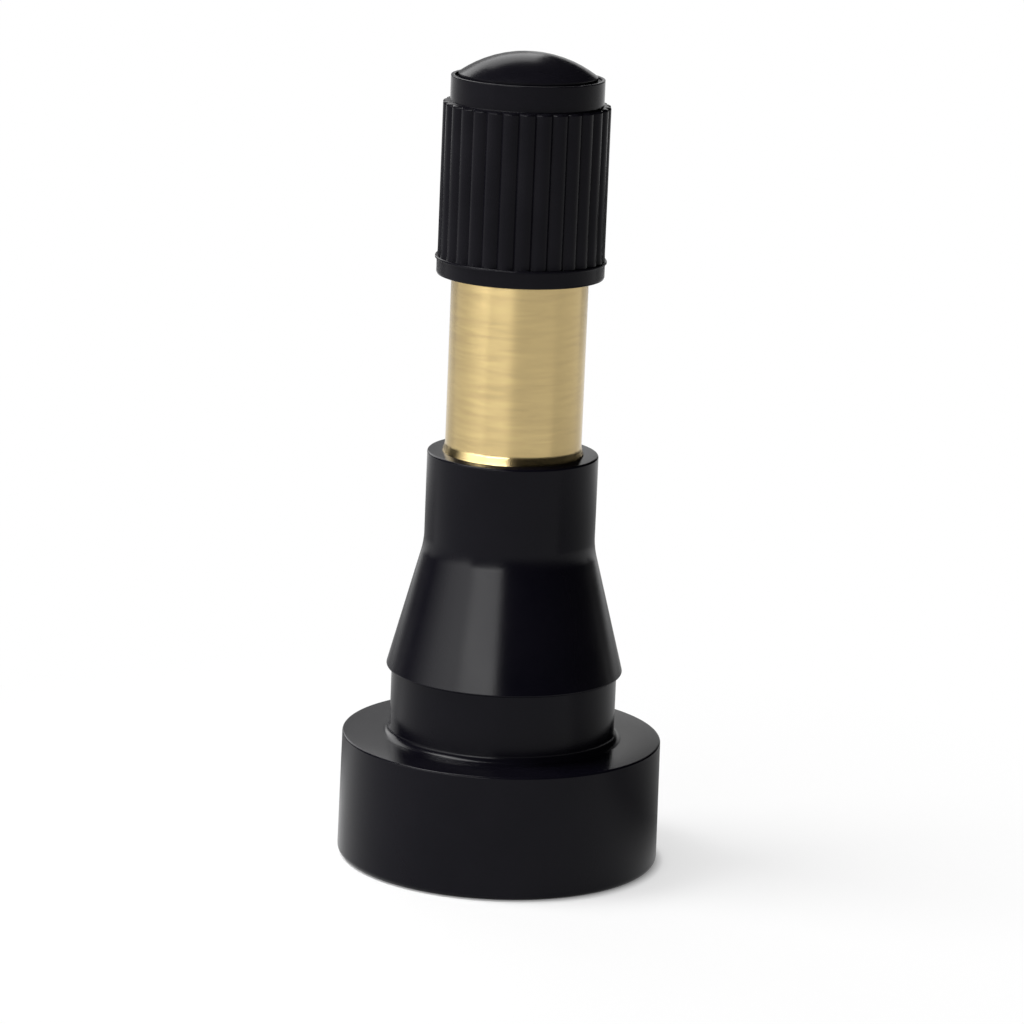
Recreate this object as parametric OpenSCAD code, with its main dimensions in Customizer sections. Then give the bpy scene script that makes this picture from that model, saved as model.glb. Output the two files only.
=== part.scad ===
// Snap-in tyre valve: a rubber body on a brass stem, with a screw cap and a valve core.
// Millimetres. The origin is the middle of the base, and +Z runs up the stem.

/* [Rubber body] */
// Diameter of the base flange at its foot
flange_d = 18.6; // [16:0.1:21]
// Height of the base flange
flange_h = 7.24; // [5:0.02:9]
// Draft of the flange's side, on the radius
flange_draft = 0.08; // [0:0.01:0.3]
// Rounding of the flange's lower edge
foot_round = 0.4; // [0.1:0.05:1]
// Rounding of the sharp moulded edges
edge_round = 0.12; // [0.05:0.01:0.2]
// Diameter of the groove that the wheel rim closes on
groove_d = 13; // [11.6:0.1:14]
// Height of the groove between the flange and the bead
groove_h = 3.96; // [3:0.02:6]
// Fillet from the groove onto the flange
groove_fillet = 0.45; // [0.2:0.05:1.4]
// Overhang of the bead past the groove
bead_overhang = 0.33; // [0.2:0.01:0.8]
// Height of the cone above the bead
cone_h = 7.33; // [5:0.01:10]
// Radius of the blend between the cone and the neck
cone_blend = 4; // [1:0.1:8]
// Height of the straight neck
neck_h = 5.4; // [3:0.1:8]
// Rubber wall of the neck over the stem
neck_wall = 1; // [0.6:0.05:2]
// Diameter of the air hole in the base
base_hole_d = 6; // [4:0.1:7.5]
// Depth of the air hole, up to the stem's foot
base_hole_h = 3.2; // [2:0.1:4]
// Rounding of the air hole's rim
base_hole_round = 0.5; // [0.1:0.05:1]

/* [Stem] */
// Diameter of the turned barrel
stem_d = 7.8; // [7.2:0.1:9.4]
// Length of bare brass between the neck and the cap
stem_bare = 10.22; // [5:0.02:20]
// Step of the collar at the neck, on the radius
collar_step = 0.15; // [0.1:0.01:0.4]
// Height of the collar's taper above the rubber
collar_taper = 0.45; // [0.2:0.05:1]
// Depth of the collar in the rubber
collar_h = 0.8; // [0.4:0.1:2]
// Step from the barrel down to the tail in the rubber, on the radius
tail_step = 0.5; // [0.3:0.05:0.8]
// Holding ridges on the tail
ridge_count = 3; // [1:1:3]
// Width of a holding ridge
ridge_w = 0.9; // [0.6:0.05:1.2]
// Thickness of the foot
foot_h = 1; // [0.6:0.1:1.6]
// Lap of the foot over the rim of the air hole
foot_lap = 1.4; // [0.6:0.1:1.6]
// Diameter of the air passage
air_d = 3; // [2:0.1:3.6]
// Pitch of the mouth thread
mouth_pitch = 0.79375; // [0.6:0.00625:1]
// Relief of the mouth thread's crest below the barrel
mouth_relief = 0.05; // [0.02:0.01:0.15]
// Plain length of the stem inside the cap, below the thread
mouth_lead = 0.75; // [0.4:0.05:1]
// Chamfers of the mouth
mouth_chamfer = 0.3; // [0.1:0.05:0.4]
// Depth of the counterbore in the mouth
mouth_relief_h = 0.8; // [0.4:0.1:1.4]

/* [Cap] */
// Wall of the cap's lower band
cap_wall = 0.77; // [0.6:0.01:1.4]
// Clearance of the cap around the barrel
cap_clear = 0.1; // [0.05:0.01:0.2]
// Clearance of the cap's thread
cap_thread_clear = 0.07; // [0.03:0.01:0.1]
// Height of the lower band
band_h = 0.9; // [0.7:0.01:2]
// Height of the ribbed grip
grip_h = 8.91; // [7:0.01:12]
// Ribs around the grip
rib_count = 30; // [20:1:36]
// Turn of the ribs about the axis
rib_turn = 6.9; // [0:0.1:12]
// Step from the band in to the ribs' crests
rib_inset = 0.02; // [0:0.01:0.1]
// Radius of a rib's round crest
rib_round = 0.62; // [0.5:0.01:0.7]
// Spread of the lip under the ribs, over the band
lip_spread = 0.1; // [0.02:0.01:0.2]
// Height of the thin lip on which the ribs stand
lip_h = 0.16; // [0.14:0.01:0.4]
// Step from the ribs in to the top ring
ring_step = 0.43; // [0.2:0.01:0.6]
// Height of the top ring
ring_h = 1.48; // [1.2:0.01:2.5]
// Width of the top ring's rim
rim_w = 0.22; // [0.15:0.01:0.4]
// Width of the groove between the rim and the dome
dome_gap = 0.2; // [0.1:0.01:0.4]
// Depth of that groove
dome_gap_h = 0.18; // [0.1:0.01:0.3]
// Step of the dome's edge above the rim
dome_step = 0.13; // [0.02:0.01:0.3]
// Rise of the dome above its edge
dome_rise = 1.28; // [0.6:0.01:2]
// Roof of the cap below the top ring's rim
roof_h = 0.64; // [0.55:0.01:0.9]
// Thickness of the seal disc
seal_h = 1.2; // [0.8:0.05:1.6]
// Play of the seal disc in the cap's thread
seal_play = 0.2; // [0.05:0.05:0.4]

/* [Valve core, across] */
// Diameter of the pin
pin_d = 1; // [0.8:0.05:1.2]
// Diameter of the pin's head
pin_head_d = 1.7; // [1.3:0.05:2]
// Play of the pin in the bridge, on the radius
pin_play = 0.1; // [0.05:0.01:0.2]
// Air way around the pin in the barrel's foot, on the radius
pin_air = 0.3; // [0.2:0.05:0.4]
// Wire of the spring
wire_d = 0.28; // [0.2:0.01:0.35]
// Room between the pin and the spring
spring_gap = 0.27; // [0.15:0.01:0.4]
// Room between the spring and the barrel
spring_play = 0.15; // [0.1:0.01:0.3]
// Wall of the barrel
barrel_wall = 0.3; // [0.2:0.02:0.5]
// Step of the barrel's head, which the plug holds
head_step = 0.4; // [0.25:0.05:0.5]
// Step of the collars that hold the packing
packing_step = 0.25; // [0.2:0.05:0.35]
// Lap of the cup past the barrel
cup_lap = 0.15; // [0.1:0.05:0.25]
// Wall of the cup
cup_wall = 0.18; // [0.12:0.02:0.24]
// Air way around the cup
cup_air = 0.3; // [0.2:0.05:0.4]
// Taper of the packing's seat, on the radius
seat_step = 0.25; // [0.15:0.05:0.3]
// Wall of the plug around the barrel's head
plug_wall = 0.45; // [0.35:0.05:0.6]
// Thickness of the bridge on the plug
bridge_w = 1.8; // [1.6:0.1:2.2]
// Snug fits in the core, on the radius
core_fit = 0.03; // [0.01:0.01:0.05]
// Running fits in the core, on the radius
core_play = 0.06; // [0.03:0.01:0.1]

/* [Valve core, along] */
// Depth of the pin's head below the mouth
pin_recess = 0.3; // [0.1:0.05:0.8]
// Travel of the pin
pin_travel = 1.5; // [1:0.1:2]
// Room left at the end of the pin's travel
pin_stop_gap = 0.3; // [0.1:0.05:0.6]
// Height of the pin's head
pin_head_h = 0.5; // [0.3:0.05:0.8]
// Height of the bridge
bridge_h = 1.9; // [1.4:0.1:2.4]
// Height of the air windows beside the bridge
window_h = 0.4; // [0.2:0.05:0.8]
// Height of the plug below the bridge
plug_h = 3.4; // [2.8:0.1:4.5]
// Room above the pin's collar
pin_collar_gap = 0.6; // [0.3:0.05:0.9]
// Height of the pin's collar
pin_collar_h = 0.5; // [0.3:0.05:0.8]
// Height of the lip that holds the barrel's head
crimp_h = 0.3; // [0.2:0.05:0.5]
// Height of the barrel's head
head_h = 0.7; // [0.5:0.05:1]
// Barrel between the plug and the packing's upper collar
swivel_h = 1.1; // [0.6:0.1:2]
// Height of the packing's collars
packing_collar_h = 0.4; // [0.3:0.05:0.6]
// Height of the packing
packing_h = 2.7; // [2:0.1:3.5]
// Length of the fitted spring
spring_h = 9.2; // [8:0.1:11]
// Working turns of the spring
spring_turns = 9; // [6:1:12]
// Foot of the barrel below the spring
guide_h = 3.5; // [2.5:0.1:4.5]
// Height of the barrel's lip
lip_seat_h = 0.3; // [0.2:0.05:0.5]
// Width of the barrel's lip
lip_seat_w = 0.25; // [0.15:0.05:0.35]
// Thickness of the cup's seal
cup_seal_h = 0.8; // [0.6:0.05:1.2]
// Stand of the cup's seal above the cup
cup_seal_proud = 0.25; // [0.15:0.05:0.4]
// Floor of the cup
cup_floor = 0.4; // [0.25:0.05:0.6]
// Rivet head under the cup
rivet_h = 0.4; // [0.25:0.05:0.6]
// Room below the open valve
open_gap = 0.4; // [0.2:0.1:1]
// Run-out of the core's thread below the plug
core_run_out = 0.4; // [0.2:0.05:0.6]

/* [Hidden] */
$fn = 96;

// Smoothness of the spring's wire, which is the one swept shape
wire_sides = 8;
turn_steps = 20;
// How far a cut runs past the face that it opens
past = 0.5;

// Colours
rubber_black = "#1c1b20";
cap_black = "#1b1a1f";
seal_grey = "#2c2c30";
brass = "#c9aa63";
packing_red = "#a8392c";
steel = "#c4c8cc";

// Levels up the outside
bead_z = flange_h + groove_h;
neck_z = bead_z + cone_h;
neck_top = neck_z + neck_h;
cap_z = neck_top + stem_bare;
thread_z = cap_z + mouth_lead;
grip_z = cap_z + band_h;
ring_z = grip_z + grip_h;
rim_z = ring_z + ring_h;
roof_z = rim_z - roof_h;
mouth_z = roof_z - seal_h;

// Radii of the outside
flange_r = flange_d / 2;
groove_r = groove_d / 2;
bead_r = groove_r + bead_overhang;
stem_r = stem_d / 2;
collar_r = stem_r + collar_step;
neck_r = stem_r + neck_wall;
tail_r = stem_r - tail_step;
base_hole_r = base_hole_d / 2;
foot_r = base_hole_r + foot_lap;
air_r = air_d / 2;
foot_top = base_hole_h + foot_h;
ridge_pitch = (bead_z - foot_top) / (ridge_count + 1);

// The mouth thread is drawn as a plain cylinder at half its depth
thread_depth_per_pitch = 0.613;
thread_r = stem_r - mouth_relief - thread_depth_per_pitch * mouth_pitch / 2;
cap_thread_r = thread_r + cap_thread_clear;
cap_bore_r = stem_r + cap_clear;
cap_r = cap_bore_r + cap_wall;
rib_circle_r = cap_r - rib_inset - rib_round;
ring_r = cap_r - ring_step;
dome_r = ring_r - rim_w - dome_gap;
dome_z = rim_z + dome_step;
dome_sphere_r = (dome_r * dome_r + dome_rise * dome_rise) / (2 * dome_rise);
seal_r = cap_thread_r - seal_play;

// Radii of the core, from the pin outwards
pin_r = pin_d / 2;
pin_head_r = pin_head_d / 2;
guide_r = pin_r + pin_air;
spring_r = pin_r + spring_gap + wire_d / 2;
pin_collar_r = spring_r + wire_d / 4;
chamber_r = spring_r + wire_d / 2 + spring_play;
barrel_r = chamber_r + barrel_wall;
head_r = barrel_r + head_step;
cup_r = barrel_r + cup_lap;
cup_inner_r = cup_r - cup_wall;
stem_chamber_r = cup_r + cup_air;
seat_top_r = stem_chamber_r + seat_step;
packing_low_r = barrel_r + packing_step;
packing_high_r = seat_top_r - packing_step;
plug_groove_r = head_r + core_play;
plug_r = plug_groove_r + plug_wall;
plug_hollow_r = chamber_r + core_play;
core_bore_r = plug_r + core_play;
bridge_r = plug_r - core_play - core_fit;

// Levels of the core, from the mouth downwards
pin_top = mouth_z - pin_recess;
pin_head_z = pin_top - pin_head_h;
bridge_top = pin_head_z - pin_stop_gap - pin_travel;
bridge_z = bridge_top - bridge_h;
plug_z = bridge_z - plug_h;
hollow_top = bridge_z + window_h;
spring_top = hollow_top - pin_collar_gap - pin_collar_h;
shoulder_z = spring_top - spring_h;
head_z = plug_z + crimp_h + core_play;
barrel_top = head_z + head_h;
packing_top = plug_z - swivel_h - packing_collar_h;
packing_z = packing_top - packing_h;
lip_z = shoulder_z - guide_h;
cup_top = lip_z - cup_seal_proud;
cup_inner_z = lip_z - cup_seal_h;
cup_z = cup_inner_z - cup_floor;
pin_z = cup_z - rivet_h;
chamber_z = pin_z - pin_travel - open_gap;
core_bore_z = plug_z - core_run_out;

// One corner of an outline: a patch between its two edges and the arc that rounds it
function unit(v) = v / norm(v);
function place(p) = [p[0], p[1]];
function rounding(p) = len(p) > 2 ? p[2] : 0;
function turn(a, b, c) = (b[0] - a[0]) * (c[1] - b[1]) - (b[1] - a[1]) * (c[0] - b[0]);

module corner_patch(before, corner, after, r) {
    to_before = unit(before - corner);
    to_after = unit(after - corner);
    half = acos(to_before * to_after) / 2;
    middle = corner + unit(to_before + to_after) * r / sin(half);
    difference() {
        polygon([corner, corner + to_before * r / tan(half), middle, corner + to_after * r / tan(half)]);
        translate(middle) circle(r);
    }
}

// A closed outline of [radius, height, rounding] points, anticlockwise, with true arcs at its corners
module outline(points) {
    count = len(points);
    spots = [for (p = points) place(p)];
    difference() {
        union() {
            polygon(spots);
            rounded_corners(points, spots, count, -1);
        }
        rounded_corners(points, spots, count, 1);
    }
}

module rounded_corners(points, spots, count, side) {
    for (i = [0 : count - 1]) {
        before = spots[(i + count - 1) % count];
        after = spots[(i + 1) % count];
        if (rounding(points[i]) > 0 && side * turn(before, spots[i], after) > 0)
            corner_patch(before, spots[i], after, rounding(points[i]));
    }
}

// The stem's outside, which is also the space that the rubber leaves for it
module stem_outline() {
    ridges = [for (i = [1 : ridge_count], side = [-1, 1])
        [stem_r, foot_top + i * ridge_pitch + side * ridge_w / 4]];
    valleys = [for (i = [1 : ridge_count], side = [-1, 1])
        [tail_r, foot_top + i * ridge_pitch + side * ridge_w / 2]];
    tail = [for (i = [0 : ridge_count - 1])
        each [valleys[2 * i], ridges[2 * i], ridges[2 * i + 1], valleys[2 * i + 1]]];
    outline(concat(
        [[0, base_hole_h], [foot_r, base_hole_h, edge_round], [foot_r, foot_top, edge_round], [tail_r, foot_top]],
        tail,
        [
            [tail_r, bead_z],
            [stem_r, bead_z + tail_step],
            [stem_r, neck_top - collar_h - collar_step],
            [collar_r, neck_top - collar_h],
            [collar_r, neck_top],
            [stem_r, neck_top + collar_taper],
            [stem_r, thread_z],
            [thread_r, thread_z + stem_r - thread_r],
            [thread_r, mouth_z - mouth_chamfer],
            [thread_r - mouth_chamfer, mouth_z],
            [0, mouth_z]
        ]));
}

// The stem's inside: the core's thread, the taper seat, the core's chamber and the air passage
module stem_bore() {
    mouth_r = core_bore_r + core_play;
    outline([
        [0, base_hole_h - past],
        [air_r + mouth_chamfer + past, base_hole_h - past],
        [air_r, base_hole_h + mouth_chamfer],
        [air_r, chamber_z - stem_chamber_r + air_r],
        [stem_chamber_r, chamber_z],
        [stem_chamber_r, packing_z],
        [seat_top_r, packing_top],
        [seat_top_r, core_bore_z - core_bore_r + seat_top_r],
        [core_bore_r, core_bore_z],
        [core_bore_r, mouth_z - mouth_relief_h - mouth_r + core_bore_r],
        [mouth_r, mouth_z - mouth_relief_h],
        [mouth_r, mouth_z - mouth_chamfer],
        [mouth_r + mouth_chamfer + past, mouth_z + past],
        [0, mouth_z + past]
    ]);
}

module rubber_body() {
    color(rubber_black) rotate_extrude() difference() {
        outline([
            [base_hole_r, 0, base_hole_round],
            [flange_r, 0, foot_round],
            [flange_r - flange_draft, flange_h, edge_round],
            [groove_r, flange_h, groove_fillet],
            [groove_r, bead_z],
            [bead_r, bead_z, edge_round],
            [neck_r, neck_z, cone_blend],
            [neck_r, neck_top, edge_round],
            [0, neck_top],
            [0, base_hole_h + foot_h / 2],
            [base_hole_r, base_hole_h + foot_h / 2]
        ]);
        stem_outline();
    }
}

module stem() {
    color(brass) rotate_extrude() difference() {
        stem_outline();
        stem_bore();
    }
}

// The ribs stand around the grip and overlap, so that their round crests meet in narrow valleys
module cap_ribs() {
    translate([0, 0, grip_z]) linear_extrude(grip_h) {
        circle(rib_circle_r);
        for (i = [0 : rib_count - 1])
            rotate(rib_turn + i * 360 / rib_count) translate([rib_circle_r, 0]) circle(rib_round);
    }
}

// The cap without its ribs: the band, the grip, the ring with its rim, and the dome
module cap_round_parts() {
    rotate_extrude() {
        outline([
            [0, cap_z],
            [cap_r, cap_z, edge_round],
            [cap_r, grip_z],
            [cap_r + lip_spread, grip_z],
            [cap_r + lip_spread, grip_z + lip_h, edge_round / 2],
            [rib_circle_r, grip_z + lip_h],
            [rib_circle_r, ring_z - edge_round],
            [ring_r, ring_z - edge_round],
            [ring_r, rim_z, edge_round / 2],
            [ring_r - rim_w, rim_z, edge_round / 2],
            [ring_r - rim_w, rim_z - dome_gap_h],
            [dome_r, rim_z - dome_gap_h],
            [dome_r, dome_z],
            [0, dome_z]
        ]);
        intersection() {
            translate([0, dome_z + dome_rise - dome_sphere_r]) circle(dome_sphere_r);
            translate([0, dome_z]) square([dome_r, dome_rise]);
        }
    }
}

module cap() {
    bore_step = cap_bore_r - cap_thread_r;
    bore_step_z = thread_z + cap_clear;
    color(cap_black) difference() {
        union() {
            cap_ribs();
            cap_round_parts();
        }
        rotate_extrude() outline([
            [0, cap_z - past],
            [cap_bore_r + edge_round + past, cap_z - past],
            [cap_bore_r, cap_z + edge_round],
            [cap_bore_r, bore_step_z],
            [cap_thread_r, bore_step_z + bore_step],
            [cap_thread_r, roof_z],
            [0, roof_z]
        ]);
    }
}

module cap_seal() {
    color(seal_grey) rotate_extrude() outline([
        [0, mouth_z],
        [seal_r, mouth_z, edge_round],
        [seal_r, roof_z, edge_round],
        [0, roof_z]
    ]);
}

module core_plug() {
    groove_z = plug_z + crimp_h;
    groove_top = groove_z + head_h + 2 * core_play;
    color(brass) difference() {
        union() {
            translate([0, 0, plug_z]) cylinder(h = plug_h, r = plug_r);
            intersection() {
                translate([0, 0, plug_z]) cylinder(h = plug_h + bridge_h, r = bridge_r);
                translate([-plug_r, -bridge_w / 2, plug_z + plug_h / 2])
                    cube([2 * plug_r, bridge_w, plug_h / 2 + bridge_h]);
            }
        }
        rotate_extrude() outline([
            [0, plug_z - past],
            [barrel_r + core_play, plug_z - past],
            [barrel_r + core_play, groove_z],
            [plug_groove_r, groove_z],
            [plug_groove_r, groove_top],
            [plug_hollow_r, groove_top],
            [plug_hollow_r, hollow_top],
            [pin_r + pin_play, hollow_top],
            [pin_r + pin_play, bridge_top + past],
            [0, bridge_top + past]
        ]);
    }
}

module core_barrel() {
    lip_r = guide_r + lip_seat_w;
    color(brass) rotate_extrude() outline([
        [chamber_r, barrel_top],
        [chamber_r, shoulder_z],
        [guide_r, shoulder_z],
        [guide_r, lip_z],
        [lip_r, lip_z],
        [barrel_r, lip_z + lip_seat_h],
        [barrel_r, packing_z - packing_collar_h],
        [packing_low_r, packing_z - packing_collar_h],
        [packing_low_r, packing_z],
        [barrel_r, packing_z],
        [barrel_r, packing_top],
        [packing_high_r, packing_top],
        [packing_high_r, packing_top + packing_collar_h],
        [barrel_r, packing_top + packing_collar_h],
        [barrel_r, head_z],
        [head_r, head_z],
        [head_r, barrel_top]
    ]);
}

module core_packing() {
    color(packing_red) rotate_extrude() outline([
        [barrel_r + core_fit, packing_z],
        [stem_chamber_r - core_fit, packing_z],
        [seat_top_r - core_fit, packing_top],
        [barrel_r + core_fit, packing_top]
    ]);
}

module core_pin() {
    color(brass) rotate_extrude() outline([
        [0, pin_z],
        [cup_inner_r / 2, pin_z, edge_round],
        [cup_inner_r / 2, cup_z],
        [pin_r, cup_z],
        [pin_r, spring_top],
        [pin_collar_r, spring_top],
        [pin_collar_r, spring_top + pin_collar_h],
        [pin_r, spring_top + pin_collar_h],
        [pin_r, pin_head_z],
        [pin_head_r, pin_head_z],
        [pin_head_r, pin_top, 2 * edge_round],
        [0, pin_top]
    ]);
}

module core_cup() {
    color(brass) rotate_extrude() outline([
        [pin_r + core_fit, cup_z],
        [cup_r, cup_z, edge_round],
        [cup_r, cup_top],
        [cup_inner_r, cup_top],
        [cup_inner_r, cup_inner_z],
        [pin_r + core_fit, cup_inner_z]
    ]);
}

module cup_seal() {
    color(seal_grey) rotate_extrude() outline([
        [pin_r + core_fit, cup_inner_z],
        [cup_inner_r - core_fit, cup_inner_z],
        [cup_inner_r - core_fit, lip_z],
        [pin_r + core_fit, lip_z]
    ]);
}

// A coil with one closed turn at each end, wound right-handed
module core_spring() {
    turns = spring_turns + 2;
    rise = spring_h - wire_d;
    working_pitch = (rise - 2 * wire_d) / spring_turns;
    function climb(t) = min(t, 1) * wire_d
        + max(0, min(t - 1, spring_turns)) * working_pitch
        + max(0, t - 1 - spring_turns) * wire_d;
    steps = turns * turn_steps;
    points = [for (i = [0 : steps], k = [0 : wire_sides - 1])
        let (
            a = 360 * i / turn_steps,
            b = 360 * k / wire_sides,
            r = spring_r + cos(b) * wire_d / 2,
            z = shoulder_z + wire_d / 2 + climb(i / turn_steps) + sin(b) * wire_d / 2
        ) [r * cos(a), r * sin(a), z]];
    walls = [for (i = [0 : steps - 1], k = [0 : wire_sides - 1])
        let (next = (k + 1) % wire_sides, ring = i * wire_sides)
        [ring + k, ring + next, ring + wire_sides + next, ring + wire_sides + k]];
    start_cap = [for (k = [0 : wire_sides - 1]) wire_sides - 1 - k];
    end_cap = [for (k = [0 : wire_sides - 1]) steps * wire_sides + k];
    color(steel) polyhedron(points = points, faces = concat([start_cap, end_cap], walls));
}

rubber_body();
stem();
cap();
cap_seal();
core_plug();
core_barrel();
core_packing();
core_pin();
core_cup();
cup_seal();
core_spring();
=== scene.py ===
# Snap-in tyre valve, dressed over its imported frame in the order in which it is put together.
import math
import bmesh
import bpy
from mathutils import Matrix, Vector


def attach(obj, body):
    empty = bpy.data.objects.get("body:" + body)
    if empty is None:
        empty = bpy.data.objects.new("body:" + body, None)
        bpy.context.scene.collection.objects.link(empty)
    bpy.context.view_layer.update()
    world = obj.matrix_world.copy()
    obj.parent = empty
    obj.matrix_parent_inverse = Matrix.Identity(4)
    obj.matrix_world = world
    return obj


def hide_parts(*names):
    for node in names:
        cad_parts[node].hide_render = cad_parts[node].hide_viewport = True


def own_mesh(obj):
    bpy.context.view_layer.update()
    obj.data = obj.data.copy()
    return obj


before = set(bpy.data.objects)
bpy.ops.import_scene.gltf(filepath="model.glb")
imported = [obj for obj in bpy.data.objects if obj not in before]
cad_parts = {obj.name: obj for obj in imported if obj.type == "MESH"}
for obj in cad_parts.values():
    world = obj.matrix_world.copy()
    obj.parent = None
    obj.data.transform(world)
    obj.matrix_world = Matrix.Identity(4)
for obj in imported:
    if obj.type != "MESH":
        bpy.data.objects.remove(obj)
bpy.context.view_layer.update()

# Brass stem
# A tube turned from brass bar, with holding ridges and a foot that the rubber grips, and a small
# tapered collar where it leaves the neck. Its mouth carries one thread outside and one inside.
MM = 0.001
foot_low = 3.2
foot_high = 4.2
foot_r = 4.4
root_r = 3.4
ridge_zs = (5.95, 7.7, 9.45)
stem_r = 3.9
bead_z = 11.2
collar_r = 4.05
collar_low = 23.13
neck_top = 23.93
thread_z = 34.9
thread_low = thread_z + 0.9
mouth_z = 43.6
mouth_pitch = 0.79375
mouth_ridge = [(3.36, -0.37), (3.80, -0.07), (3.80, 0.07), (3.36, 0.37)]
core_pitch = 0.7056
core_ridge = [(2.64, 0.33), (2.475, 0.06), (2.475, -0.06), (2.64, -0.33)]


def turned(outline, steps=224):
    """A closed outline of (radius, height, edge rounding) in millimetres, turned about the stem's axis."""
    bm = bmesh.new()
    corners = [bm.verts.new((r * MM, 0, z * MM)) for r, z, edge in outline]
    for here, after in zip(corners, corners[1:] + corners[:1]):
        bm.edges.new((here, after))
    for corner, (r, z, edge) in zip(corners, outline):
        if edge:
            bmesh.ops.bevel(bm, geom=[corner], offset=edge * MM, affect="VERTICES", segments=6,
                            profile=0.5, material=-1)
    bmesh.ops.spin(bm, geom=bm.verts[:] + bm.edges[:], cent=(0, 0, 0), axis=(0, 0, 1), dvec=(0, 0, 0),
                   angle=math.tau, steps=steps, use_merge=True)
    bmesh.ops.remove_doubles(bm, verts=bm.verts[:], dist=1e-8)
    bmesh.ops.recalc_face_normals(bm, faces=bm.faces[:])
    return bm


def add_thread(bm, section, pitch, low, high, steps=72):
    """A right-hand thread ridge wound from low to high, which runs out at both ends over a quarter turn.

    Its section is of (radius, height) in millimetres, and begins at the root."""
    turns = (high - low) / pitch
    count = round(turns * steps)
    run_out = steps // 4
    root = section[0][0]
    ridge = bmesh.new()
    edge = ridge.faces.new([ridge.verts.new((r * MM, 0, (low + z) * MM)) for r, z in section])
    bmesh.ops.spin(ridge, geom=[edge] + edge.verts[:] + edge.edges[:], cent=(0, 0, 0), axis=(0, 0, 1),
                   dvec=(0, 0, (high - low) * MM / count), angle=math.tau * turns, steps=count)
    ridge.verts.index_update()
    for vert in ridge.verts:
        step = vert.index // len(section)
        share = min(run_out, step + 1, count - step + 1) / run_out
        own = math.hypot(vert.co.x, vert.co.y) / MM
        scale = (root + (own - root) * share) / own
        vert.co = Vector((vert.co.x * scale, vert.co.y * scale, vert.co.z))
    bmesh.ops.recalc_face_normals(ridge, faces=ridge.faces[:])
    winding = bpy.data.meshes.new("winding")
    ridge.to_mesh(winding)
    ridge.free()
    bm.from_mesh(winding)
    bpy.data.meshes.remove(winding)


def finished(bm, name, material, body, node, sharp=38):
    """The piece as an object on its body: smooth faces, crisp edges and its material, with the imported node
    that it stands for hidden.
    """
    mesh = bpy.data.meshes.new(name)
    bm.to_mesh(mesh)
    bm.free()
    mesh.shade_smooth()
    mesh.set_sharp_from_angle(angle=math.radians(sharp))
    mesh.materials.append(material)
    piece = bpy.data.objects.new(name, mesh)
    bpy.context.collection.objects.link(piece)
    even = piece.modifiers.new("even_shading", "WEIGHTED_NORMAL")
    even.keep_sharp = True
    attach(piece, body)
    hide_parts(node)
    return piece


def new_group(name, inputs, outputs):
    """An empty shader node group with these float inputs and outputs, and one vector input."""
    group = bpy.data.node_groups.new(name, "ShaderNodeTree")
    group.interface.new_socket("Vector", in_out="INPUT", socket_type="NodeSocketVector")
    for label, value in inputs:
        socket = group.interface.new_socket(label, in_out="INPUT", socket_type="NodeSocketFloat")
        socket.default_value = value
    for label in outputs:
        group.interface.new_socket(label, in_out="OUTPUT", socket_type="NodeSocketFloat")
    return group, group.nodes.new("NodeGroupInput"), group.nodes.new("NodeGroupOutput")


def new_math(tree, kind, first, second):
    """A math node on two values or sockets."""
    node = tree.nodes.new("ShaderNodeMath")
    node.operation = kind
    for socket, value in zip(node.inputs, (first, second)):
        if isinstance(value, (int, float)):
            socket.default_value = value
        else:
            tree.links.new(value, socket)
    return node.outputs[0]


# Turning marks: fine cut rings, crossed by short wavy streaks that run round the piece
turning, turn_in, turn_out = new_group("turning_marks", [("Lines", 9000.0), ("Streaks", 260.0)],
                                       ["Height", "Streak"])
turn_stretch = turning.nodes.new("ShaderNodeMapping")
turn_stretch.inputs["Scale"].default_value = (1.0, 1.0, 8.0)
turning.links.new(turn_in.outputs["Vector"], turn_stretch.inputs["Vector"])
turn_streaks = turning.nodes.new("ShaderNodeTexNoise")
turn_streaks.inputs["Detail"].default_value = 3.0
turn_streaks.inputs["Roughness"].default_value = 0.6
turn_streaks.inputs["Distortion"].default_value = 0.5
turning.links.new(turn_stretch.outputs["Vector"], turn_streaks.inputs["Vector"])
turning.links.new(turn_in.outputs["Streaks"], turn_streaks.inputs["Scale"])
turn_axes = turning.nodes.new("ShaderNodeSeparateXYZ")
turning.links.new(turn_in.outputs["Vector"], turn_axes.inputs["Vector"])
turn_lines = new_math(turning, "MULTIPLY", turn_axes.outputs["Z"], turn_in.outputs["Lines"])
turn_place = new_math(turning, "ADD", turn_lines, turn_streaks.outputs["Fac"])
turn_rings = turning.nodes.new("ShaderNodeTexNoise")
turn_rings.noise_dimensions = "1D"
turn_rings.inputs["Scale"].default_value = 1.0
turn_rings.inputs["Detail"].default_value = 2.0
turning.links.new(turn_place, turn_rings.inputs["W"])
turn_fine = new_math(turning, "MULTIPLY", turn_rings.outputs["Fac"], 0.12)
turn_height = new_math(turning, "ADD", turn_fine, turn_streaks.outputs["Fac"])
turning.links.new(turn_height, turn_out.inputs["Height"])
turning.links.new(turn_streaks.outputs["Fac"], turn_out.inputs["Streak"])


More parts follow.
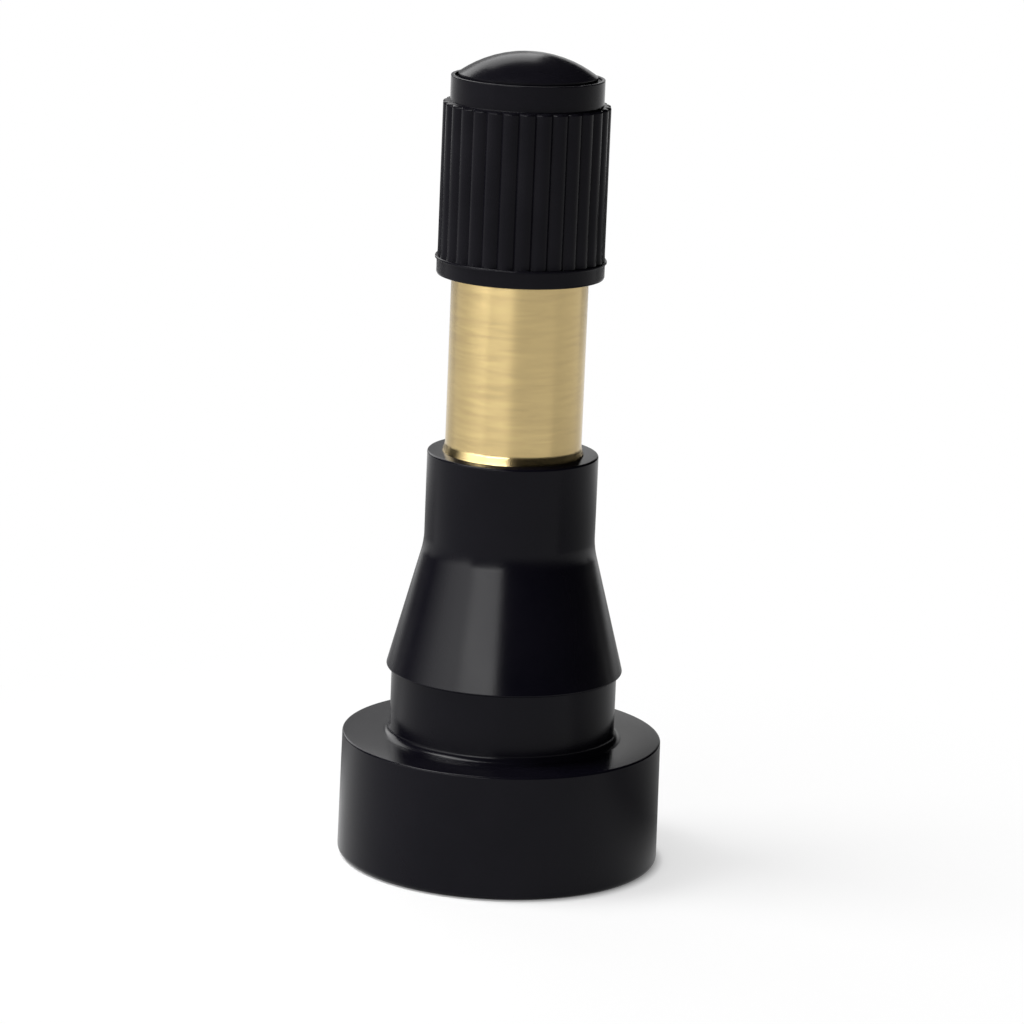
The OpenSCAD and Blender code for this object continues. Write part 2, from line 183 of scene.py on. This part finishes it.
def turned_finish(name, deep, bright, rough, lines, streaks, depth):
    """Turned metal: two close tones along the cut, roughness that follows it, and the marks as bump."""
    material = bpy.data.materials.new(name)
    material.use_nodes = True
    tree = material.node_tree
    shader = tree.nodes["Principled BSDF"]
    shader.inputs["Metallic"].default_value = 1.0
    shader.inputs["Anisotropic"].default_value = 0.6
    shader.inputs["Anisotropic Rotation"].default_value = 0.25
    place = tree.nodes.new("ShaderNodeTexCoord")
    marks = tree.nodes.new("ShaderNodeGroup")
    marks.node_tree = turning
    marks.inputs["Lines"].default_value = lines
    marks.inputs["Streaks"].default_value = streaks
    tree.links.new(place.outputs["Object"], marks.inputs["Vector"])
    tone = tree.nodes.new("ShaderNodeValToRGB")
    tone.color_ramp.elements[0].position = 0.3
    tone.color_ramp.elements[0].color = (*deep, 1)
    tone.color_ramp.elements[1].position = 0.7
    tone.color_ramp.elements[1].color = (*bright, 1)
    tree.links.new(marks.outputs["Streak"], tone.inputs["Fac"])
    tree.links.new(tone.outputs["Color"], shader.inputs["Base Color"])
    spread = tree.nodes.new("ShaderNodeMapRange")
    spread.inputs["To Min"].default_value = rough[0]
    spread.inputs["To Max"].default_value = rough[1]
    tree.links.new(marks.outputs["Streak"], spread.inputs["Value"])
    tree.links.new(spread.outputs["Result"], shader.inputs["Roughness"])
    rings = tree.nodes.new("ShaderNodeBump")
    rings.inputs["Strength"].default_value = 1.0
    rings.inputs["Distance"].default_value = depth * MM
    tree.links.new(marks.outputs["Height"], rings.inputs["Height"])
    tree.links.new(rings.outputs["Normal"], shader.inputs["Normal"])
    return material


stem_brass = turned_finish("stem_brass", deep=(0.52, 0.395, 0.19), bright=(0.62, 0.475, 0.225),
                           rough=(0.22, 0.28), lines=12000.0, streaks=320.0, depth=0.003)

foot = [(1.8, foot_low, 0), (foot_r, foot_low, 0.12), (foot_r, foot_high, 0.12), (root_r, foot_high, 0)]
ridges = []
for ridge_z in ridge_zs:
    ridges += [(root_r, ridge_z - 0.45, 0), (stem_r, ridge_z - 0.225, 0.05), (stem_r, ridge_z + 0.225, 0.05),
               (root_r, ridge_z + 0.45, 0)]
barrel = [(root_r, bead_z, 0), (stem_r, bead_z + 0.5, 0.05), (stem_r, collar_low - 0.15, 0),
          (collar_r, collar_low, 0), (collar_r, neck_top, 0.04), (stem_r, neck_top + 0.45, 0.08),
          (stem_r, thread_z, 0.1), (root_r, thread_z + 0.5, 0)]
mouth = [(root_r, mouth_z - 0.12, 0.06), (3.31, mouth_z, 0.04), (2.83, mouth_z, 0.04),
         (2.53, mouth_z - 0.3, 0), (2.53, mouth_z - 0.8, 0), (2.6, mouth_z - 0.9, 0)]
passage = [(2.6, 35.45, 0), (2.2, 35.0, 0), (2.2, 34.2, 0), (1.95, 31.5, 0), (1.95, 22.2, 0), (1.5, 21.75, 0),
           (1.5, 3.5, 0)]
stem = turned(foot + ridges + barrel + mouth + passage)
add_thread(stem, mouth_ridge, mouth_pitch, thread_low, 42.9)
add_thread(stem, core_ridge, core_pitch, 35.9, 42.3)
finished(stem, "stem_turned", stem_brass, "valve", "stem")

# Rubber body
# Black rubber moulded and bonded onto the stem in one shot: a flange with an air hole below, the groove
# that a wheel rim closes on, a bead with a cone above it, and a straight neck up to the collar.
hole_r = 3.0
flange_r = 9.3
flange_top_r = 9.22
flange_h = 7.24
groove_r = 6.5
bead_r = 6.83
neck_r = 4.9
neck_z = 18.53
outside = [(hole_r, 0, 0.5), (flange_r, 0, 0.4), (flange_top_r, flange_h, 0.12), (groove_r, flange_h, 0.45),
           (groove_r, bead_z, 0.05), (bead_r, bead_z, 0.12), (neck_r, neck_z, 0.53), (neck_r, neck_top, 0.12)]
grip = [(collar_r, neck_top, 0), (collar_r, collar_low, 0), (stem_r, collar_low - 0.15, 0),
        (stem_r, bead_z + 0.5, 0), (root_r, bead_z, 0)]
grip += [(r, z, 0) for r, z, edge in reversed(ridges)]
grip += [(root_r, foot_high, 0), (foot_r, foot_high, 0), (foot_r, foot_low, 0), (hole_r, foot_low, 0)]
rubber = turned(outside + grip)

# Moulded skin: a fine grain as height and a broad mottle, for rubber and plastic alike
skin, skin_in, skin_out = new_group("moulded_skin", [("Grain", 9000.0), ("Mottle", 220.0)],
                                    ["Height", "Tone"])
skin_grain = skin.nodes.new("ShaderNodeTexNoise")
skin_grain.inputs["Detail"].default_value = 2.0
skin_grain.inputs["Roughness"].default_value = 0.55
skin.links.new(skin_in.outputs["Vector"], skin_grain.inputs["Vector"])
skin.links.new(skin_in.outputs["Grain"], skin_grain.inputs["Scale"])
skin_mottle = skin.nodes.new("ShaderNodeTexNoise")
skin_mottle.inputs["Detail"].default_value = 4.0
skin_mottle.inputs["Roughness"].default_value = 0.6
skin.links.new(skin_in.outputs["Vector"], skin_mottle.inputs["Vector"])
skin.links.new(skin_in.outputs["Mottle"], skin_mottle.inputs["Scale"])
skin.links.new(skin_grain.outputs["Fac"], skin_out.inputs["Height"])
skin.links.new(skin_mottle.outputs["Fac"], skin_out.inputs["Tone"])


def moulded_finish(name, deep, pale, rough, level, grain, mottle, depth):
    """Moulded rubber or plastic: two close tones in a broad mottle, uneven gloss and a fine grain."""
    material = bpy.data.materials.new(name)
    material.use_nodes = True
    tree = material.node_tree
    shader = tree.nodes["Principled BSDF"]
    shader.inputs["Specular IOR Level"].default_value = level
    place = tree.nodes.new("ShaderNodeTexCoord")
    surface = tree.nodes.new("ShaderNodeGroup")
    surface.node_tree = skin
    surface.inputs["Grain"].default_value = grain
    surface.inputs["Mottle"].default_value = mottle
    tree.links.new(place.outputs["Object"], surface.inputs["Vector"])
    tone = tree.nodes.new("ShaderNodeValToRGB")
    tone.color_ramp.elements[0].position = 0.35
    tone.color_ramp.elements[0].color = (*deep, 1)
    tone.color_ramp.elements[1].position = 0.65
    tone.color_ramp.elements[1].color = (*pale, 1)
    tree.links.new(surface.outputs["Tone"], tone.inputs["Fac"])
    tree.links.new(tone.outputs["Color"], shader.inputs["Base Color"])
    spread = tree.nodes.new("ShaderNodeMapRange")
    spread.inputs["From Min"].default_value = 0.3
    spread.inputs["From Max"].default_value = 0.7
    spread.inputs["To Min"].default_value = rough[0]
    spread.inputs["To Max"].default_value = rough[1]
    tree.links.new(surface.outputs["Tone"], spread.inputs["Value"])
    tree.links.new(spread.outputs["Result"], shader.inputs["Roughness"])
    grains = tree.nodes.new("ShaderNodeBump")
    grains.inputs["Strength"].default_value = 1.0
    grains.inputs["Distance"].default_value = depth * MM
    tree.links.new(surface.outputs["Height"], grains.inputs["Height"])
    tree.links.new(grains.outputs["Normal"], shader.inputs["Normal"])
    return material


body_rubber = moulded_finish("body_rubber", deep=(0.0024, 0.0022, 0.0042), pale=(0.0034, 0.0031, 0.0054),
                             rough=(0.20, 0.24), level=0.1, grain=9000.0, mottle=220.0, depth=0.002)
finished(rubber, "rubber_moulded", body_rubber, "valve", "rubber_body")

# Valve core
# The core screws into the stem as one unit: a brass plug with a bridge for the key, a swivelling
# brass barrel with a tapered packing ring, and a sprung pin that carries a cup with a rubber washer.
core_brass = turned_finish("core_brass", deep=(0.47, 0.35, 0.16), bright=(0.56, 0.42, 0.20),
                           rough=(0.24, 0.34), lines=12000.0, streaks=700.0, depth=0.003)
packing_plastic = moulded_finish("packing_plastic", deep=(0.30, 0.035, 0.022), pale=(0.38, 0.05, 0.03),
                                 rough=(0.38, 0.48), level=0.4, grain=7000.0, mottle=500.0, depth=0.003)
seal_rubber = moulded_finish("seal_rubber", deep=(0.016, 0.016, 0.018), pale=(0.024, 0.024, 0.026),
                             rough=(0.5, 0.6), level=0.3, grain=6000.0, mottle=400.0, depth=0.004)
for node, finish in (("core_plug", core_brass), ("core_barrel", core_brass), ("core_pin", core_brass),
                     ("core_cup", core_brass), ("core_packing", packing_plastic), ("cup_seal", seal_rubber),
                     ("cap_seal", seal_rubber)):
    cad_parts[node].data.materials.clear()
    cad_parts[node].data.materials.append(finish)

# Core spring
# A coil of drawn steel wire with closed ends, squeezed between the barrel's shoulder and the pin's
# collar, so that it pulls the cup up against the barrel's lip.
wire_r = 0.14
coil_r = 0.91
coil_low = 29.2
coil_high = 38.4
coil_turns = 9
coil_steps = 24
closed_rise = 2 * wire_r
working_rise = coil_high - coil_low - 2 * closed_rise - 2 * wire_r
spring = bmesh.new()
wire_place = Matrix.Translation((coil_r * MM, 0, (coil_low + wire_r) * MM))
wire_end = bmesh.ops.create_circle(spring, cap_ends=True, segments=10, radius=wire_r * MM,
                                   matrix=wire_place @ Matrix.Rotation(math.pi / 2, 4, "X"))
run = wire_end["verts"][0].link_faces[0]
run = [run] + run.verts[:] + run.edges[:]
for turns, rise in ((1, closed_rise), (coil_turns, working_rise), (1, closed_rise)):
    run = bmesh.ops.spin(spring, geom=run, cent=(0, 0, 0), axis=(0, 0, 1),
                         dvec=(0, 0, rise * MM / (turns * coil_steps)), angle=math.tau * turns,
                         steps=turns * coil_steps)["geom_last"]
bmesh.ops.recalc_face_normals(spring, faces=spring.faces[:])
spring_steel = turned_finish("spring_steel", deep=(0.42, 0.43, 0.45), bright=(0.55, 0.56, 0.58),
                             rough=(0.25, 0.35), lines=9000.0, streaks=1500.0, depth=0.001)
coil = finished(spring, "spring_wound", spring_steel, "valve", "core_spring")
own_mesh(coil)

# Cap
# A black plastic screw cap, moulded in one: a plain band, round grip ribs that run out of a thin lip,
# a smooth ring with a narrow rim, and a shallow dome set off by a fine groove. Its bore is threaded.
rib_count = 30
rib_round = 0.62
rib_circle = 4.13
rib_turn = math.radians(6.9)
band_r = 4.77
lip_r = 4.87
lip_h = 0.16
lip_round = 0.07
flare = 0.02
flare_h = 0.5
cap_z = 34.15
grip_z = 35.05
ring_z = 43.96
rim_z = 45.44
roof_z = 44.8
ring_r = 4.34
dome_r = 3.92
dome_z = 45.57
dome_rise = 1.28
skirt_r = 4.0
bore_r = 3.9
seal_r = 3.68
cap_ridge = [(3.94, 0.33), (3.46, 0.05), (3.46, -0.05), (3.94, -0.33)]
half_pitch = math.pi / rib_count
half_chord = rib_circle * math.sin(half_pitch)
valley_r = rib_circle * math.cos(half_pitch) + math.sqrt(rib_round ** 2 - half_chord ** 2)
valley_x = valley_r * math.cos(half_pitch)
valley_y = valley_r * math.sin(half_pitch)
cap = bmesh.new()
rib_start = cap.verts.new((valley_x * MM, -valley_y * MM, (grip_z + lip_h + flare_h) * MM))
bmesh.ops.spin(cap, geom=[rib_start], cent=(rib_circle * MM, 0, 0), axis=(0, 0, 1), dvec=(0, 0, 0),
               angle=2 * math.atan2(valley_y, valley_x - rib_circle), steps=12)
bmesh.ops.spin(cap, geom=cap.verts[:] + cap.edges[:], cent=(0, 0, 0), axis=(0, 0, 1), dvec=(0, 0, 0),
               angle=math.tau * (rib_count - 1) / rib_count, steps=rib_count - 1, use_duplicate=True)
bmesh.ops.remove_doubles(cap, verts=cap.verts[:], dist=1e-6)
bmesh.ops.rotate(cap, verts=cap.verts[:], cent=(0, 0, 0), matrix=Matrix.Rotation(rib_turn, 3, "Z"))
rib_outline = cap.edges[:]


def grow(bm, loop, radius, z):
    """The loop of edges drawn on to height z, each point to the radius that the rule makes of its own."""
    made = bmesh.ops.extrude_edge_only(bm, edges=loop)["geom"]
    for vert in (part for part in made if isinstance(part, bmesh.types.BMVert)):
        own = math.hypot(vert.co.x, vert.co.y) / MM
        scale = radius(own) / own
        vert.co = Vector((vert.co.x * scale, vert.co.y * scale, z * MM))
    return [part for part in made if isinstance(part, bmesh.types.BMEdge)]


def close(bm, loop, z):
    """A fan over a loop around the axis."""
    rim = {vert for edge in loop for vert in edge.verts}
    bmesh.ops.pointmerge(bm, verts=list(rim), merge_co=(0, 0, z * MM))


# The ribs, from the lip up, then the ring, the rim, the groove and the dome. A loop of edges close to
# each rounded edge keeps the plain face beside it evenly shaded.
loop = grow(cap, rib_outline, lambda own: own, ring_z - 0.14)
loop = grow(cap, loop, lambda own: own, ring_z - 0.1)
loop = grow(cap, loop, lambda own: own - 0.03, ring_z - 0.03)
loop = grow(cap, loop, lambda own: own - 0.07, ring_z)
for reach, z in ((ring_r + 0.03, ring_z), (ring_r + 0.008, ring_z + 0.008), (ring_r, ring_z + 0.03),
                 (ring_r, ring_z + 0.06), (ring_r, rim_z - 0.065), (ring_r, rim_z - 0.035),
                 (ring_r - 0.01, rim_z - 0.01), (ring_r - 0.035, rim_z),
                 (ring_r - 0.185, rim_z), (ring_r - 0.21, rim_z - 0.01), (ring_r - 0.22, rim_z - 0.035),
                 (ring_r - 0.22, rim_z - 0.18), (dome_r, rim_z - 0.18), (dome_r, dome_z)):
    loop = grow(cap, loop, lambda own: reach, z)
dome_ball = (dome_r ** 2 + dome_rise ** 2) / (2 * dome_rise)
for share in (0.992, 0.95, 0.88, 0.78, 0.66, 0.53, 0.4, 0.27, 0.14, 0.05):
    z = dome_z + dome_rise - dome_ball + math.sqrt(dome_ball ** 2 - (dome_r * share) ** 2)
    loop = grow(cap, loop, lambda own: dome_r * share, z)
close(cap, loop, dome_z + dome_rise)

# The ribs' feet, which spread onto the lip, then the band, the mouth of the cap, the bore and the roof
loop = rib_outline
spread = 0.0
for share in (0.75, 0.5, 0.3, 0.15, 0.0):
    more = flare * (1 - share) ** 2 - spread
    spread += more
    loop = grow(cap, loop, lambda own: own + more, grip_z + lip_h + flare_h * share)
for turn in (90, 70, 50, 30, 10):
    bulge = lip_r - lip_round * (1 - math.cos(math.radians(turn)))
    rise = lip_h - lip_round * (1 - math.sin(math.radians(turn)))
    loop = grow(cap, loop, lambda own: bulge, grip_z + rise)
for reach, z in ((lip_r, grip_z + 0.03), (lip_r - 0.03, grip_z), (band_r, grip_z), (band_r, cap_z + 0.16),
                 (band_r, cap_z + 0.12), (band_r - 0.035, cap_z + 0.035), (band_r - 0.12, cap_z),
                 (skirt_r + 0.12, cap_z), (skirt_r, cap_z + 0.12), (skirt_r, thread_z + 0.1),
                 (bore_r, thread_z + 0.2), (bore_r, 43.5), (seal_r, 43.7), (seal_r, roof_z)):
    loop = grow(cap, loop, lambda own: reach, z)
close(cap, loop, roof_z)
bmesh.ops.recalc_face_normals(cap, faces=cap.faces[:])
add_thread(cap, cap_ridge, mouth_pitch, thread_low - mouth_pitch / 2, 43.1)
cap_plastic = moulded_finish("cap_plastic", deep=(0.0044, 0.0041, 0.0060), pale=(0.0058, 0.0054, 0.0076),
                             rough=(0.16, 0.21), level=0.065, grain=11000.0, mottle=320.0, depth=0.003)
finished(cap, "cap_moulded", cap_plastic, "cap", "cap")

# Studio
# The valve stands on a white floor. Softboxes glow low at the front left, high at the left and dimly
# behind it, where a grey paper dims the left half of the open back. Dark flags around them keep the rest
# of the black deep, and the white floor draws its edges.


def studio_card(name, reach, azimuths, elevations, material):
    """A patch of a ball around the valve, unseen by the camera. Azimuth 0 is in front, left is below 0."""
    bm = bmesh.new()
    low, high = (math.radians(angle) for angle in elevations)
    start, end = (math.radians(angle - 90) for angle in azimuths)
    foot = bm.verts.new((reach * math.cos(low), 0, reach * math.sin(low)))
    bmesh.ops.spin(bm, geom=[foot], cent=(0, 0, 0), axis=(0, -1, 0), dvec=(0, 0, 0),
                   angle=high - low, steps=12)
    bmesh.ops.rotate(bm, verts=bm.verts[:], cent=(0, 0, 0), matrix=Matrix.Rotation(start, 3, "Z"))
    bmesh.ops.spin(bm, geom=bm.verts[:] + bm.edges[:], cent=(0, 0, 0), axis=(0, 0, 1), dvec=(0, 0, 0),
                   angle=end - start, steps=36)
    mesh = bpy.data.meshes.new(name)
    bm.to_mesh(mesh)
    bm.free()
    mesh.materials.append(material)
    card = bpy.data.objects.new(name, mesh)
    bpy.context.collection.objects.link(card)
    card.visible_camera = False


def set_stops(ramp, stops):
    """A colour ramp's grey stops: (position, level)."""
    while len(ramp.color_ramp.elements) < len(stops):
        ramp.color_ramp.elements.new(0.5)
    for element, (position, level) in zip(ramp.color_ramp.elements, stops):
        element.position = position
        element.color = (level, level, level, 1)


def glow(name, strength, stops):
    """A softbox's glow along its width: stops are (azimuth in degrees, share of the strength)."""
    material = bpy.data.materials.new(name)
    material.use_nodes = True
    tree = material.node_tree
    tree.nodes.clear()
    surface = tree.nodes.new("ShaderNodeOutputMaterial")
    light = tree.nodes.new("ShaderNodeEmission")
    light.inputs["Strength"].default_value = strength
    place = tree.nodes.new("ShaderNodeTexCoord")
    axes = tree.nodes.new("ShaderNodeSeparateXYZ")
    tree.links.new(place.outputs["Object"], axes.inputs["Vector"])
    front = new_math(tree, "MULTIPLY", axes.outputs["Y"], -1.0)
    azimuth = new_math(tree, "ARCTAN2", axes.outputs["X"], front)
    span = tree.nodes.new("ShaderNodeMapRange")
    first, last = stops[0][0], stops[-1][0]
    span.inputs["From Min"].default_value = math.radians(first)
    span.inputs["From Max"].default_value = math.radians(last)
    tree.links.new(azimuth, span.inputs["Value"])
    ramp = tree.nodes.new("ShaderNodeValToRGB")
    set_stops(ramp, [((angle - first) / (last - first), share) for angle, share in stops])
    tree.links.new(span.outputs["Result"], ramp.inputs["Fac"])
    tree.links.new(ramp.outputs["Color"], light.inputs["Color"])
    tree.links.new(light.outputs["Emission"], surface.inputs["Surface"])
    return material


side_glow = glow("side_softbox_glow", 13.0,
                 [(-108, 0.0), (-100, 0.05), (-87, 0.17), (-76, 0.33), (-50, 0.55)])
studio_card("side_softbox", 0.5, (-108, -50), (4, 20), side_glow)
low_glow = glow("low_softbox_glow", 14.6, [(-50, 0.49), (-40, 0.95), (-8, 1.0)])
studio_card("low_softbox", 0.5, (-50, -8), (11, 20), low_glow)
high_glow = glow("high_softbox_glow", 20.0, [(-114, 0.4), (-104, 1.0), (-65, 0.7)])
studio_card("high_softbox", 0.5, (-114, -65), (50, 82), high_glow)
back_glow = glow("back_softbox_glow", 2.3, [(-180, 1.0), (180, 1.0)])
studio_card("back_softbox", 0.5, (176, 202), (22, 46), back_glow)
corner_glow = glow("corner_softbox_glow", 3.4, [(-162, 0.8), (-150, 1.0), (-132, 0.9)])
studio_card("corner_softbox", 0.49, (-162, -132), (8, 38), corner_glow)
dim_glow = glow("dim_paper_glow", 1.0, [(-180, 0.45), (-162, 0.3)])
studio_card("dim_paper", 0.55, (-180, -162), (0, 22), dim_glow)

flag_cloth = bpy.data.materials.new("flag_cloth")
flag_cloth.use_nodes = True
flag_black = flag_cloth.node_tree.nodes["Principled BSDF"]
flag_black.inputs["Base Color"].default_value = (0.01, 0.01, 0.01, 1)
flag_black.inputs["Roughness"].default_value = 1.0
flag_black.inputs["Specular IOR Level"].default_value = 0.0
studio_card("front_flag", 0.6, (-160, 162), (0, 90), flag_cloth)
studio_card("left_flag", 0.2, (-170, -125), (0, 3), flag_cloth)
studio_card("right_flag", 0.2, (125, 170), (0, 3), flag_cloth)
studio_card("back_flag", 0.6, (162, 200), (46, 90), flag_cloth)
studio_card("corner_flag", 0.55, (160, 176), (18, 50), flag_cloth)

# The floor glows white, and only around the valve does it also take light and shadow. Behind and to the right
# of the valve, its glow is dimmed by the distance from the valve for all rays but the camera's. This is a
# painted shadow of the valve, which the gloss mirrors.
shadow_stops = ((0.0088, 1.0), (0.0098, 0.3), (0.045, 0.0))
# Painted shadow in the floor's glow: stops of distance from the valve and level
painted_shadow_stops = ((0.018, 0.05), (0.03, 0.22), (0.042, 0.7), (0.07, 0.42), (0.095, 0.3), (0.11, 1.0))
painted_shadow_way = (0.45, 0.89, 0)
painted_shadow_edge = 0.014
floor_mesh = bmesh.new()
bmesh.ops.create_grid(floor_mesh, x_segments=1, y_segments=1, size=4.0,
                      matrix=Matrix.Translation((0, 0, -0.00001)))
floor_data = bpy.data.meshes.new("floor")
floor_mesh.to_mesh(floor_data)
floor_mesh.free()
floor = bpy.data.objects.new("floor", floor_data)
bpy.context.collection.objects.link(floor)
paper = bpy.data.materials.new("floor_paper")
paper.use_nodes = True
paper_tree = paper.node_tree
paper_tree.nodes.clear()
paper_out = paper_tree.nodes.new("ShaderNodeOutputMaterial")
paper_white = paper_tree.nodes.new("ShaderNodeEmission")
paper_white.inputs["Strength"].default_value = 1.0
paper_matt = paper_tree.nodes.new("ShaderNodeBsdfDiffuse")
paper_matt.inputs["Color"].default_value = (0.85, 0.85, 0.85, 1)
paper_mix = paper_tree.nodes.new("ShaderNodeMixShader")
paper_place = paper_tree.nodes.new("ShaderNodeTexCoord")
paper_length = paper_tree.nodes.new("ShaderNodeVectorMath")
paper_length.operation = "LENGTH"
paper_tree.links.new(paper_place.outputs["Object"], paper_length.inputs[0])


def paper_rings(scale, stops):
    """A level that changes with the distance from the valve: stops are (distance in metres, level)."""
    ramp = paper_tree.nodes.new("ShaderNodeValToRGB")
    set_stops(ramp, [(reach * scale, level) for reach, level in stops])
    scaled = new_math(paper_tree, "MULTIPLY", paper_length.outputs["Value"], scale)
    paper_tree.links.new(scaled, ramp.inputs["Fac"])
    return ramp.outputs["Color"]


paper_tree.links.new(paper_rings(10.0, shadow_stops), paper_mix.inputs["Fac"])
# Painted shadow: on the side away from the lamps, the glow falls to the painted shadow's level
paper_back = paper_tree.nodes.new("ShaderNodeVectorMath")
paper_back.operation = "DOT_PRODUCT"
paper_back.inputs[1].default_value = painted_shadow_way
paper_tree.links.new(paper_place.outputs["Object"], paper_back.inputs[0])
paper_fall = paper_tree.nodes.new("ShaderNodeMapRange")
paper_fall.interpolation_type = "SMOOTHSTEP"
paper_fall.inputs["From Min"].default_value = 0.0
paper_fall.inputs["From Max"].default_value = painted_shadow_edge
paper_fall.inputs["To Min"].default_value = 1.0
paper_fall.inputs["To Max"].default_value = 0.0
paper_tree.links.new(paper_back.outputs["Value"], paper_fall.inputs["Value"])
paper_painted_shadow = new_math(paper_tree, "MAXIMUM", paper_fall.outputs["Result"], paper_rings(5.0, painted_shadow_stops))
paper_rays = paper_tree.nodes.new("ShaderNodeLightPath")
paper_level = new_math(paper_tree, "MAXIMUM", paper_painted_shadow, paper_rays.outputs["Is Camera Ray"])
paper_tree.links.new(paper_level, paper_white.inputs["Strength"])
paper_tree.links.new(paper_white.outputs["Emission"], paper_mix.inputs[1])
paper_tree.links.new(paper_matt.outputs["BSDF"], paper_mix.inputs[2])
paper_tree.links.new(paper_mix.outputs["Shader"], paper_out.inputs["Surface"])
floor_data.materials.append(paper)

# White surroundings as the camera, metal and gloss see them, and a softer light from them on all else
world = bpy.data.worlds.new("studio")
bpy.context.scene.world = world
world.use_nodes = True
air = world.node_tree
air.nodes.clear()
air_out = air.nodes.new("ShaderNodeOutputWorld")
air_seen = air.nodes.new("ShaderNodeBackground")
air_seen.inputs["Strength"].default_value = 1.0
air_fill = air.nodes.new("ShaderNodeBackground")
air_fill.inputs["Strength"].default_value = 0.5
air_rays = air.nodes.new("ShaderNodeLightPath")
air_direct = new_math(air, "MAXIMUM", air_rays.outputs["Is Camera Ray"], air_rays.outputs["Is Glossy Ray"])
air_clear = new_math(air, "MAXIMUM", air_direct, air_rays.outputs["Is Transmission Ray"])
air_mix = air.nodes.new("ShaderNodeMixShader")
air.links.new(air_clear, air_mix.inputs["Fac"])
air.links.new(air_fill.outputs["Background"], air_mix.inputs[1])
air.links.new(air_seen.outputs["Background"], air_mix.inputs[2])
air.links.new(air_mix.outputs["Shader"], air_out.inputs["Surface"])

# The camera looks down a little from the front, with a slight roll
view_centre = (0.000087, 0, 0.02039)
view_reach = 0.2522
view_down = 12.9
view_roll = 2.36
camera_data = bpy.data.cameras.new("camera")
camera_data.sensor_width = 36.0
camera_data.lens = 154.69
camera_data.clip_start = 0.01
camera = bpy.data.objects.new("camera", camera_data)
bpy.context.collection.objects.link(camera)
bpy.context.scene.camera = camera
look_at = Matrix.Translation(view_centre)
pitch = Matrix.Rotation(math.radians(90 - view_down), 4, "X")
back = Matrix.Translation((0, 0, view_reach))
roll = Matrix.Rotation(math.radians(view_roll), 4, "Z")
camera.matrix_world = look_at @ pitch @ back @ roll
bpy.context.scene.view_settings.view_transform = "Standard"
